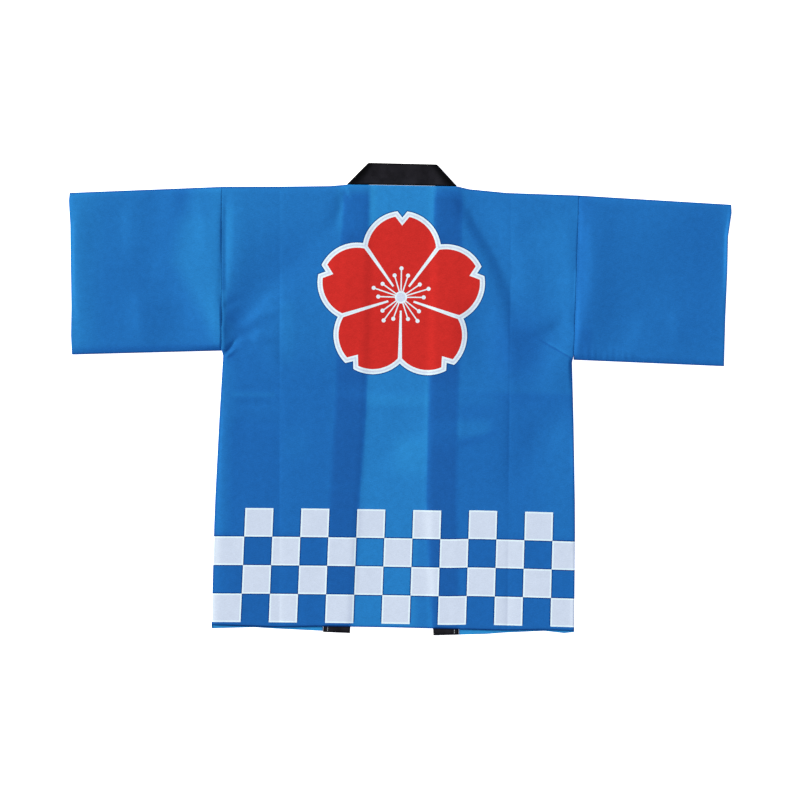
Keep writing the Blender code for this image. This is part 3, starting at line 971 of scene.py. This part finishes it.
def back_height(x, y):
    """The upper face of the back: the layers below, its folds, and its edges rolled down."""
    band, gap = over_layers(x, y, soft=9.0)
    height = 2.0 * WALL + SEAM + EDGE_PUFF + 0.5 * TURN_GAP * band - GAP_SAG * gap
    folds = relief(x, y, BACK_FOLDS, BACK_CREASES, BACK_SWELLS, seed=1.0)
    edge = from_sides(x, y)
    at_armhole = smooth_step(UNDERARM_Y - 5.0, ARMHOLE_Y + 5.0, y)
    height = height + folds * lerp(smooth_step(0.0, 8.0, edge), 1.0, at_armhole)
    halves = []
    for side, flank in ((-1, SEAM_RISE), (1, SEAM_DROP)):
        loose = rolled(height, SIDE_LOW, edge, *SIDE_ROLLS[side])
        halves.append(lerp(loose, grooved(height, side, y, edge, flank), at_armhole))
    height = np.where(x < 0.0, *halves)
    height = np.maximum(height, lerp(SIDE_LOW, height, 0.2))
    at_neck = window(NECK_LOW[-1].x - 3.0, NECK_LOW[1].x + 3.0, 8.0, x)
    top_low = lerp(SIDE_LOW, NECK_LOW_Z, at_neck)
    height = rolled(height, top_low, below_shoulder(x, y), lerp(EDGE_ROUND, NECK_RIM_ROUND, at_neck))
    return rolled(height, HEM_LOW, above_hem(BACK_HEM, x, y), HEM_ROUND)


Shade = namedtuple("Shade", "name x0 x1 y0 y1 soft tone")
BACK_SHADES = (
    Shade("upper left", -241, -78, 70, 421, 57, 0.15),
    Shade("drag", -285, -129, 207, 280, 75, -0.14),
    Shade("left seam side", -363, -255, 196, 413, 79, 0.33),
    Shade("past the left crease", -208, -188, 60, 170, 12, 0.10),
    Shade("upper right", 112, 330, 15, 400, 7, 0.13),
    Shade("right blade", 227, 355, 172, 363, 58, 0.05),
    Shade("right underarm", 197, 237, 41, 150, 76, -0.50),
    Shade("left side", -340, -295, -430, 60, 20, 0.12),
    Shade("lower left", -300, -212, -430, -50, 16, -0.10),
    Shade("lower right side", 262, 338, -430, -30, 41, 0.09),
    Shade("gap at the crease", -58, 60, -14, 6, 6, 0.10),
    Shade("gap middle right", -4, 60, -136, -66, 18, 0.14),
    Shade("right band top", 56, 110, -86, 30, 14, 0.14),
    Shade("beside the right band", 66, 168, -66, -36, 10, 0.16),
    Shade("below the level crease", 110, 180, -8, 10, 10, 0.08),
    Shade("left band top", -112, -54, 0, 30, 8, 0.12),
    Shade("left band middle", -118, -54, -56, -36, 12, 0.06),
    Shade("left band low", -120, -58, -170, -150, 10, 0.08),
    Shade("beside the left crease", -205, -160, -110, -60, 16, 0.05),
    Shade("gap below the neck", -60, 66, 300, 420, 20, 0.12),
    Shade("left band neck", -112, -50, 300, 420, 12, 0.20),
    Shade("right band neck", 52, 116, 300, 420, 12, 0.08),
    Shade("left seam strip", -316, -300, 190, 340, 6, 0.10),
    Shade("left level line", -297, -219, 0, 7, 4, 0.12),
    Shade("left seam light", -320, -309, 84, 190, 3, 0.26),
    Shade("notch hollow", -312, -296, 88, 134, 8, 0.12),
    Shade("left blue checks", -330, -128, -425, -246, 6, -0.20),
    Shade("right blue checks", 130, 330, -425, -246, 6, -0.14),
    Shade("checks beside the band", 42, 66, -425, -246, 6, -0.16),
)
Streak = namedtuple("Streak", "name x0 y0 x1 y1 half tone")
BACK_STREAKS = (
    Streak("right underarm crease", 324, 72, 248, 115, 1.3, -0.30),
    Streak("light above the crease", 322, 76, 256, 114, 1.6, 0.14),
    Streak("neck corner", 100, 366, 150, 262, 9.0, -0.08),
    Streak("below the right light", 104, -84, 190, -54, 6.0, -0.14),
    Streak("notch", -316, 73, -286, 98, 1.6, -0.14),
    Streak("light above the notch", -318, 77, -288, 103, 1.8, 0.16),
    Streak("low notch", -314, 66, -290, 76, 1.6, -0.16),
    Streak("left neck pucker", -99, 380, -86, 352, 1.8, 0.22),
    Streak("left neck dark side", -104, 378, -97, 346, 2.4, -0.12),
)
BACK_TONE = 0.54
GAP_TONE = 0.34
SLEEVE_TONE = 0.60
BAND_TONE = 0.46


def streak_tone(streaks, x, y):
    """Thin straight lines of painted shade and painted light, which fade at both ends."""
    tone = np.zeros(x.shape)
    for streak in streaks:
        along, aside, _ = along_and_aside(streak, x, y)
        ends = smooth_step(0.0, 0.15, along) * smooth_step(1.0, 0.7, along)
        tone += streak.tone * ends * np.exp(-((aside / streak.half) ** 2))
    return tone


def shade_tone(shades, x, y):
    """Soft-edged patches of painted light and shade, and of the cloth lying closer to what is below or
    further from it.
    """
    tone = np.zeros(x.shape)
    for shade in shades:
        patch = window(shade.x0, shade.x1, shade.soft, x) * window(shade.y0, shade.y1, shade.soft, y)
        tone += shade.tone * patch
    return tone


def back_tone(x, y):
    """0 over the band, 0.5 over a front, 1 over the bare gap, as the cloth lets it through; plus painted
    light and shade, and a painted shade line at the edges.
    """
    band, gap = over_layers(x, y, soft=5.0)
    tone = BACK_TONE + GAP_TONE * gap - BAND_TONE * band * smooth_step(*BAND_FADE_Y, y)
    at_neck = (x > NECK_LOW[-1].x) & (x < NECK_LOW[1].x)
    below_top = below_shoulder(x, y) + np.where(at_neck, NECK_RIM_OFF, 0.0)
    edge = np.minimum(below_top, above_hem(BACK_HEM, x, y))
    edge = np.minimum(edge, np.where(y < ARMHOLE_Y, from_sides(x, y), 9.0))
    tone = tone + shade_tone(BACK_SHADES, x, y) + streak_tone(BACK_STREAKS, x, y)
    return np.clip(tone, 0.0, MOST_TONE) - painted_edge_shade(edge)


def build_back():
    parts = stations(0.0, BACK_ROWS) / BODY_HEIGHT
    x = back_columns(parts)
    y = level_at(BACK_HEM, x, parts[:, None])
    points = np.stack((x, y, back_height(x, y)), axis=-1)
    piece = make_sheet("back_cloth", points, back_tone(x, y), printed_back, plain_blue)
    declare_sheet(piece, "back")


build_back()

# %% [markdown]
# ## The fronts
#
# The two fronts lie on the table under the back, outer face down. Only their hems show from above,
# but from below they are the coat's face, so they have the checks too and a few soft dents where the
# folds of the upper layer press through. They curl up a little at the side to meet the back.

# %% Build the fronts
FRONT_ROWS = (Span(4.0, 1.0), Span(789.0, 6.0), Span(BODY_HEIGHT, 1.0))
FRONT_COLUMNS = (Span(2.8, 0.4), Span(196.0, 5.0), Span(200.0, 2.0))
HEM_TONE = 1.15
HEM_FADE = (6.0, 26.0)
FRONT_FOLDS = {
    -1: (
        Fold("left front underarm", -300, 84, -190, 190, 8, 22, 14, 1.0, 1.8),
        Fold("left front low", -300, 60, -196, 20, 4, 14, 20, 0.7, 1.8),
        Fold("left front storage fold", -212, 376, -204, -410, 0, 3, 5, 0.5, 1.4),
    ),
    1: (
        Fold("right front underarm", 300, 80, 214, 170, -8, 18, 22, 1.0, 1.8),
        Fold("right front low", 300, 56, 220, -20, -4, 20, 14, 0.7, 1.8),
        Fold("right front storage fold", 200, 372, 206, -410, 0, 3, 5, 0.5, 1.4),
    ),
}


def front_inner_x(side, y):
    """A front's inner edge, a seam's gap outside the band's outer edge."""
    edge = BAND_EDGES[side]["outer"] + (NECK_LOW[side],)
    return across(edge, "y", "x", y) + side * SEAM


def build_front(side, name):
    parts = stations(0.0, FRONT_ROWS) / BODY_HEIGHT
    outer = crossing(lambda y: side_x(side, y), FRONT_HEM, parts)
    inner = crossing(lambda y: front_inner_x(side, y), FRONT_HEM, parts)
    across_parts = stations(0.0, FRONT_COLUMNS) / FRONT_COLUMNS[-1].end
    x = outer[:, None] + (inner - outer)[:, None] * across_parts[None, :]
    y = level_at(FRONT_HEM, x, parts[:, None])
    edge = np.minimum(np.abs(x - side_x(side, y)), below_shoulder(x, y))
    up = (FOLD_RADIUS - 0.15) * (1.0 - quarter(edge, FOLD_RADIUS))
    dents = sum(fold_height(fold, x, y) for fold in FRONT_FOLDS[side])
    points = np.stack((x, y, up + dents * smooth_step(0.0, 12.0, edge)), axis=-1)
    tone = lerp(HEM_TONE, SLEEVE_TONE, smooth_step(*HEM_FADE, above_hem(FRONT_HEM, x, y)))
    piece = make_sheet(name + "_cloth", points, tone, printed_front, plain_blue, flip=side < 0)
    declare_sheet(piece, name)


build_front(-1, "front_left")
build_front(1, "front_right")

# %% [markdown]
# ## The sleeves
#
# A sleeve is one cloth folded at the shoulder line and sewn along the bottom, which makes a flat tube,
# open at the cuff and at the armhole. Each ring of points runs over the table, round the fold, back
# across the top and round the seam below.

# %% Build the sleeves
SLEEVE_SECTIONS = (
    Span(0.02, 0.0025), Span(0.95, 0.0125), Span(0.995, 0.006), Span(1.0, 0.00125),
)
RUN_STEPS = (Span(0.05, 0.006), Span(0.95, 0.0115), Span(1.0, 0.006))
ARC_ANGLES = np.radians(np.linspace(-90.0, 90.0, 8)[1:-1])
CUFF_LOW = 2.1
SLEEVE_EDGE = 11.0
LOW_SEAM_SHADE = {-1: 0.16, 1: 0.04}
LIGHT_TONE = 0.30
LIGHT_SOFT = 22.0
LIGHT_EDGE_Y = (80, 92, 140, 190, 240, 300, 367)
LIGHT_EDGE_X = (-316, -320, -347, -378, -405, -396, -378)
Ring = namedtuple("Ring", "x y z upper")
SLEEVE_SHADES = (
    Shade("left top dark", -400, -340, 318, 400, 11, -0.08),
    Shade("left low seam", -346, -310, 84, 210, 8, 0.03),
    Shade("left outer", -608, -550, 74, 390, 32, 0.22),
    Shade("left outer top", -560, -463, 270, 425, 79, 0.13),
    Shade("right strip", 307, 337, 113, 400, 23, -0.10),
    Shade("right low corner", 318, 348, 78, 128, 10, -0.12),
    Shade("right outer", 500, 578, 109, 364, 48, -0.04),
    Shade("right cuff", 580, 620, 40, 400, 6, 0.06),
)


def pucker_height(x, y, low_y):
    """The short gathers above the right sleeve's lower seam, which the sewing pulled in."""
    height = np.zeros(x.shape)
    for index in range(PUCKERS):
        place = PUCKER_START + index * PUCKER_PITCH + 2.0 * math.sin(3.1 * index)
        reach = 15.0 + 7.0 * math.sin(1.7 * index)
        size = 0.55 + 0.2 * math.sin(2.3 * index)
        ridge = np.exp(-(((x - place) / 3.2) ** 2))
        height += size * ridge * np.exp(-(((y - low_y - 5.0) / reach) ** 2))
    return height


def sleeve_relief(data, x, y, low_y):
    if data.side < 0:
        return relief(x, y, LEFT_SLEEVE_FOLDS, (), SLEEVE_SWELLS, seed=3.0)
    return relief(x, y, RIGHT_SLEEVE_FOLDS, (), SLEEVE_SWELLS, seed=5.0) + pucker_height(x, y, low_y)


def seam_x(data, y):
    return side_x(data.side, np.maximum(y, ARMHOLE_Y))


def cuff_x(data, up):
    return across(CUFFS, "up", "left" if data.side < 0 else "right", up)


def sleeve_rings(data):
    """The way round the sleeve for every section at once."""
    parts = stations(0.0, SLEEVE_SECTIONS)[:, None]
    low_y = lerp(data.bottom_seam, data.bottom_cuff, parts)
    top_y = lerp(data.top_seam, data.top_cuff, parts)
    low_end, top_end = low_y + FOLD_RADIUS, top_y - FOLD_RADIUS
    run = lerp(low_end, top_end, stations(0.0, RUN_STEPS)[None, :])
    arc = FOLD_RADIUS * np.cos(ARC_ANGLES)[None, :]
    lift = FOLD_RADIUS * np.sin(ARC_ANGLES)[None, :] + 0.0 * parts
    flat = np.zeros(run.shape)
    y = np.concatenate((run, top_end + arc, run[:, ::-1], low_end - arc), axis=1)
    z = np.concatenate((flat, FOLD_RADIUS + lift, flat + 2.0 * FOLD_RADIUS, FOLD_RADIUS - lift), axis=1)
    upper = np.concatenate((flat, 0.0 * lift, flat + 1.0, 0.0 * lift), axis=1)
    up = np.clip((y - low_y) / (top_y - low_y), 0.0, 1.0)
    x = lerp(seam_x(data, y) + data.side * SEAM, cuff_x(data, up), parts)
    return Ring(x, y, z, upper), low_end, top_end


def sleeve_tone(data, x, y):
    """The cloth is lightest near the left armhole, partly as the layers lie apart there, partly as painted
    light on the slope up to the seam; soft patches add painted light and shade.
    """
    tone = SLEEVE_TONE + shade_tone(SLEEVE_SHADES, x, y)
    if data.side < 0:
        past_edge = x - np.interp(y, LIGHT_EDGE_Y, LIGHT_EDGE_X)
        tone += LIGHT_TONE * smooth_step(-LIGHT_SOFT, LIGHT_SOFT, past_edge)
    return tone


def build_sleeve(data):
    ring, low_end, top_end = sleeve_rings(data)
    x, y = ring.x, ring.y
    seam = np.abs(x - seam_x(data, y))
    cuff_up = np.clip((y - data.bottom_cuff) / (data.top_cuff - data.bottom_cuff), 0.0, 1.0)
    cuff = np.abs(cuff_x(data, cuff_up) - x)
    edge_y = np.minimum(y - low_end, top_end - y)
    folds = sleeve_relief(data, x, y, low_end)
    height = 2.0 * FOLD_RADIUS + EDGE_PUFF + folds * smooth_step(0.0, 8.0, cuff)
    height = rolled(height, CUFF_LOW, cuff, *SIDE_ROLLS[data.side])
    height = grooved(height, data.side, y, seam, SEAM_DROP if data.side < 0 else SEAM_RISE)
    height = rolled(height, 2.0 * FOLD_RADIUS, edge_y, SLEEVE_EDGE, 0.1)
    points = np.stack((x, y, np.where(ring.upper > 0.5, height, ring.z)), axis=-1)
    # Painted shade along the lower seam, and a painted shade line at the cuff and the folded edges.
    low_shade = LOW_SEAM_SHADE[data.side] * smooth_step(18.0, 0.0, y - low_end)
    tone = np.clip(sleeve_tone(data, x, y) - low_shade, 0.0, MOST_TONE)
    tone = tone - painted_edge_shade(np.minimum(cuff + 1.6, edge_y + FOLD_RADIUS))
    piece = make_sheet(data.name + "_cloth", points, tone, plain_blue, ring=True, flip=data.side < 0)
    declare_sheet(piece, data.name)


for sleeve in SLEEVES:
    build_sleeve(sleeve)

# %% [markdown]
# ## The collar band
#
# The collar is one long strip of doubled black cloth. It runs up one front, turns over along a slant
# beside the neck, crosses behind the neck as the upper layer, and goes down the other front. A cross
# section of the strip, flat with rounded edges, is carried along a list of cross lines. Between the
# cross lines of the turn it rolls over in a tight U.

# %% Build the collar band
FAN_ROWS = 6
TURN_STEPS = 10
NECK_STATIONS = 26
BAND_STEP = 6.0
STITCH_IN = 8.0
BAND_ACROSS = (0.02, 0.06, 0.11, 0.145, 0.17, 0.195, 0.24, 0.36, 0.5, 0.64, 0.78, 0.88, 0.94, 0.98)
Station = namedtuple("Station", "out_inner out_outer in_inner in_outer")


def lerp_point(start, end, part):
    return Point(lerp(start.x, end.x, part), lerp(start.y, end.y, part))


def cross_line(inner, outer, out_z, in_z, out_x=0.0, in_x=0.0):
    """A cross line of the band: both its ends on the outer face and on the inner face."""
    return Station(
        np.array((inner.x + out_x, inner.y, out_z)),
        np.array((outer.x + out_x, outer.y, out_z)),
        np.array((inner.x + in_x, inner.y, in_z)),
        np.array((outer.x + in_x, outer.y, in_z)),
    )


def band_stations(side):
    """The band down one front, the fan of cross lines to the slant, and the turn itself."""
    found = []
    outer_low, inner_low = [BAND_EDGES[side][edge][-1].y for edge in ("outer", "inner")]
    count = round((BAND_TOP_Y - outer_low) / BAND_STEP)
    for step in range(count + 1):
        outer_y = lerp(outer_low, BAND_TOP_Y, step / count)
        inner_y = lerp(inner_low, BAND_TOP_Y, step / count)
        inner = Point(float(band_x(side, "inner", inner_y)), inner_y)
        outer = Point(float(band_x(side, "outer", outer_y)), outer_y)
        found.append(cross_line(inner, outer, 0.0, BAND_WALL))
    inside, outside = 0.5 * TURN_GAP, BAND_WALL + 0.5 * TURN_GAP
    top, corner = NECK_TOP[side], NECK_LOW[side]
    slant = (top.y - corner.y) / math.hypot(top.x - corner.x, top.y - corner.y)
    turn = side * outside / slant
    for row in range(1, FAN_ROWS):
        new_inner = lerp_point(inner, Point(top.x - turn, top.y), row / FAN_ROWS)
        new_outer = lerp_point(outer, Point(corner.x - turn, corner.y), row / FAN_ROWS)
        found.append(cross_line(new_inner, new_outer, 0.0, BAND_WALL))
    for arc in range(TURN_STEPS + 1):
        angle = math.radians(-90.0 + 180.0 * arc / TURN_STEPS)
        out_x = -side * outside * (1.0 - math.cos(angle)) / slant
        in_x = -side * (outside - inside * math.cos(angle)) / slant
        out_z, in_z = [outside + radius * math.sin(angle) for radius in (outside, inside)]
        found.append(cross_line(top, corner, out_z, in_z, out_x, in_x))
    return found


def neck_stations():
    """The strip behind the neck, outer face up."""
    found = []
    for station in range(1, NECK_STATIONS):
        top = lerp_point(NECK_TOP[-1], NECK_TOP[1], station / NECK_STATIONS)
        low = lerp_point(NECK_LOW[-1], NECK_LOW[1], station / NECK_STATIONS)
        found.append(cross_line(top, low, 2.0 * BAND_WALL + TURN_GAP, BAND_WALL + TURN_GAP))
    return found


def band_ring(station):
    """The band's cross section: its outer face, a round edge, its inner face and the other edge."""
    half_outer = 0.5 * (station.out_outer - station.in_outer)
    half_inner = 0.5 * (station.out_inner - station.in_inner)
    middle_outer = station.out_outer - half_outer
    middle_inner = station.out_inner - half_inner
    width = np.linalg.norm(middle_inner - middle_outer)
    faces_up, faces_down = [], []
    for part in BAND_ACROSS:
        groove = 0.3 * math.exp(-(((part * width - STITCH_IN) / 1.2) ** 2))
        middle = lerp(middle_outer, middle_inner, part)
        half = lerp(half_outer, half_inner, part)
        thickness = quarter(min(part, 1.0 - part) * width, 2.0 * np.linalg.norm(half))
        half = half * (1.0 - groove) * thickness
        faces_up.append(middle + half)
        faces_down.append(middle - half)
    return [middle_outer] + faces_up + [middle_inner] + faces_down[::-1]


def band_tone(count):
    """Painted shade: 1 in the middle of the band, 0 at its folded edges and where it turns over."""
    face = smooth_step(0.0, 0.09, np.array([min(part, 1.0 - part) for part in BAND_ACROSS]))
    ring = np.concatenate(([0.0], face, [0.0], face[::-1]))
    turn = (count - NECK_STATIONS + 1) // 2
    from_turn = [min(abs(row - turn), abs(row - (count - 1 - turn))) for row in range(count)]
    return np.minimum(ring[None, :], smooth_step(0.0, 3.0, np.array(from_turn))[:, None])


def build_collar():
    rows = band_stations(-1) + neck_stations() + band_stations(1)[::-1]
    points = np.array([band_ring(station) for station in rows])
    tone = band_tone(len(rows))
    piece = make_sheet("collar_band", points, tone, black_felt, ring=True, flip=True, thickness=0.4)
    declare_sheet(piece, "collar")


build_collar()

# %% [markdown]
# ## The collar's stitches
#
# A line of pale stitches runs 8 mm inside the band's outer edge, on both of its faces, and shows where
# the band ends come out under the hem. One stitch is modelled: a small cylinder laid down, pressed
# flat and rounded with a bevel. Its copies follow the groove that the band's cross section has there.

# %% Sew the collar's edge
STITCH_LENGTH = 2.6
STITCH_PITCH = 3.6
STITCH_RADIUS = 0.22
STITCH_SINK = 0.165
STITCH_ENDS = 2.0
STITCH_SHAPE = (1.9, 1.0, 0.62)


def model_stitch():
    """One stitch along Y, centred at the origin, as points and faces."""
    bpy.ops.object.select_all(action="DESELECT")
    bpy.ops.mesh.primitive_cylinder_add(
        vertices=6, radius=STITCH_RADIUS * MM, depth=STITCH_LENGTH * MM, rotation=(math.pi / 2, 0.0, 0.0)
    )
    stitch = bpy.context.object
    bpy.ops.object.transform_apply(location=True, rotation=True, scale=True)
    bpy.ops.object.mode_set(mode="EDIT")
    bpy.ops.mesh.select_all(action="SELECT")
    bpy.ops.transform.resize(value=STITCH_SHAPE)
    bpy.ops.object.mode_set(mode="OBJECT")
    rounding = stitch.modifiers.new("rounding", "BEVEL")
    rounding.width = 0.1 * MM
    rounding.segments = 1
    rounding.limit_method = "ANGLE"
    rounding.angle_limit = math.radians(70.0)
    bpy.ops.object.modifier_apply(modifier=rounding.name)
    return stitch


def place_stitch(pattern, side, y, z):
    """A copy of the stitch, turned along the band's edge."""
    lean = math.atan2(float(band_x(side, "outer", y - 2.0) - band_x(side, "outer", y + 2.0)), 4.0)
    x = float(band_x(side, "outer", y)) - side * STITCH_IN
    copy = pattern.copy()
    copy.data = pattern.data.copy()
    copy.location = (x * MM, y * MM, z * MM)
    copy.rotation_euler = (0.0, 0.0, lean)
    bpy.context.scene.collection.objects.link(copy)
    copy.select_set(True)
    return copy


def sew_collar():
    pattern = model_stitch()
    pattern.select_set(False)
    copies = []
    for side in (-1, 1):
        low = BAND_EDGES[side]["outer"][-1].y + STITCH_ENDS
        for step in range(int((BAND_TOP_Y - low) / STITCH_PITCH)):
            y = low + 0.5 * STITCH_LENGTH + step * STITCH_PITCH
            for z in (STITCH_SINK, BAND_WALL - STITCH_SINK):
                copies.append(place_stitch(pattern, side, y, z))
    bpy.context.view_layer.objects.active = copies[0]
    bpy.ops.object.transform_apply(location=True, rotation=True, scale=True)
    bpy.ops.object.join()
    thread = bpy.context.object
    thread.name = "collar_stitches"
    thread.data.materials.clear()
    thread.data.materials.append(pale_thread)
    thread.data.shade_smooth()
    bpy.data.objects.remove(pattern)
    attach(thread, "root")
    print("stitches:", len(copies), "faces:", len(thread.data.polygons))


sew_collar()
